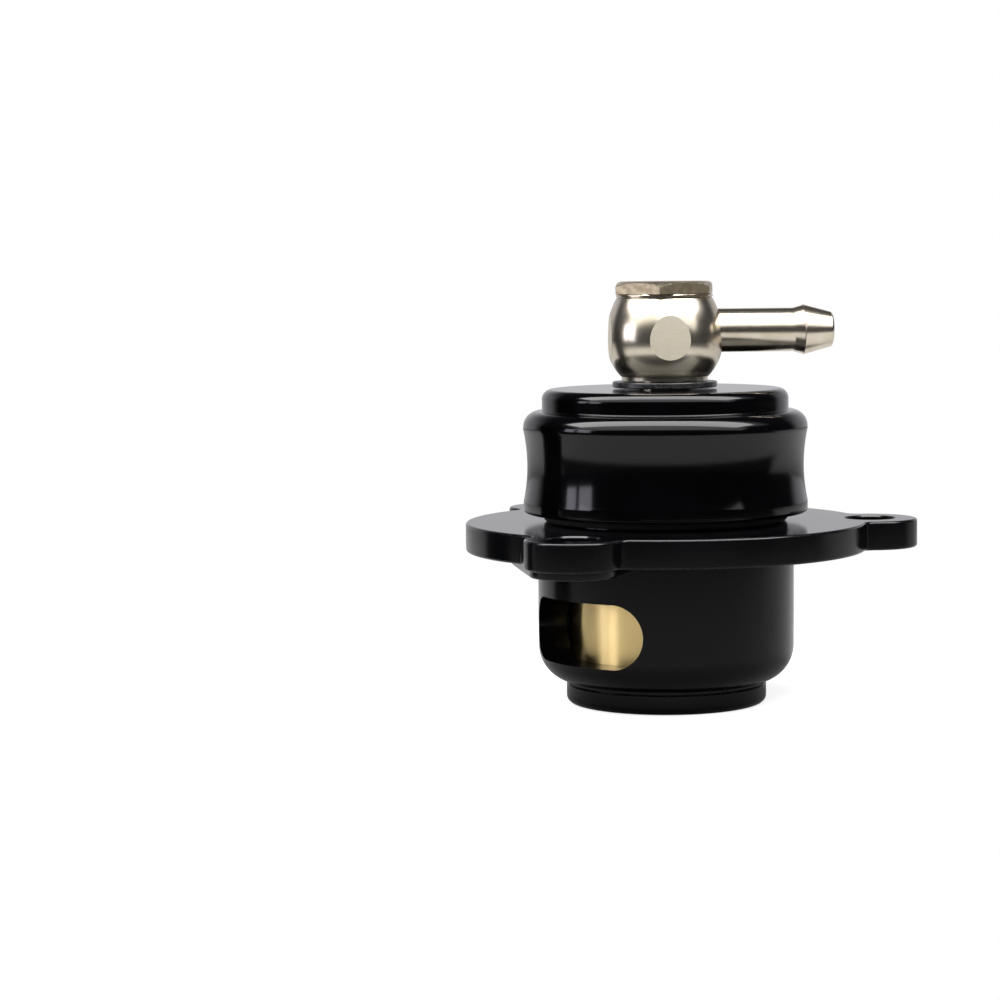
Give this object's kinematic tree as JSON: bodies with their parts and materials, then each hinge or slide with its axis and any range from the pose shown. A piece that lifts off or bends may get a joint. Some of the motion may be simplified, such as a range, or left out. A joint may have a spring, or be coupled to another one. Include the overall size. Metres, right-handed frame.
{
  "type": "blow off valve",
  "caption": "Piston blow off valve with a three-ear mounting flange, side ports, a turned spring cap and a banjo hose fitting on top.",
  "frame": {"origin": "on the valve's axis, in the end face of the spigot, where the valve stands on a surface or meets the bottom of its port", "axes": "+Z along the valve's axis, from the spigot to the hose fitting; +X in the front view to the right, about towards the right ear of the flange and the hose barb; +Y away from the camera"},
  "size_m": [0.0633, 0.063, 0.0589],
  "materials": {
    "body_anodised": "black anodised, satin on the lower body and glossy on the flange",
    "cap_anodised": "glossy black anodised",
    "seal_rubber": "matt moulded rubber",
    "piston_brass": "fine turned, bright",
    "guide_plastic": "smooth low-friction plastic",
    "spring_steel": "drawn steel wire",
    "washer_black": "black anodised",
    "fitting_nickel": "nickel plated, warm bright metal"
  },
  "bodies": {
    "housing": {"valve_body": "body_anodised", "spring_cap": "cap_anodised", "cap_o_ring": "seal_rubber", "spring": "spring_steel", "spring_shim": "spring_steel", "lower_washer": "washer_black", "upper_washer": "fitting_nickel", "banjo_bolt": "fitting_nickel"},
    "piston_group": {"piston": "piston_brass", "piston_o_ring": "seal_rubber", "lower_guide_ring": "guide_plastic", "upper_guide_ring": "guide_plastic"},
    "banjo_group": {"banjo_fitting": "fitting_nickel"}
  },
  "joints": [
    {"name": "piston_lift", "type": "slide", "parent": "housing", "child": "piston_group", "axis": [0, 0, 1], "range_m": [0, 0.011], "stiffness_N_per_m": 1950, "springref_m": -0.0097, "deforming": ["spring"]},
    {"name": "banjo_swivel", "type": "hinge", "parent": "housing", "child": "banjo_group", "pos_m": [0, 0, 0.052], "axis": [0, 0, 1], "continuous": true}
  ]
}
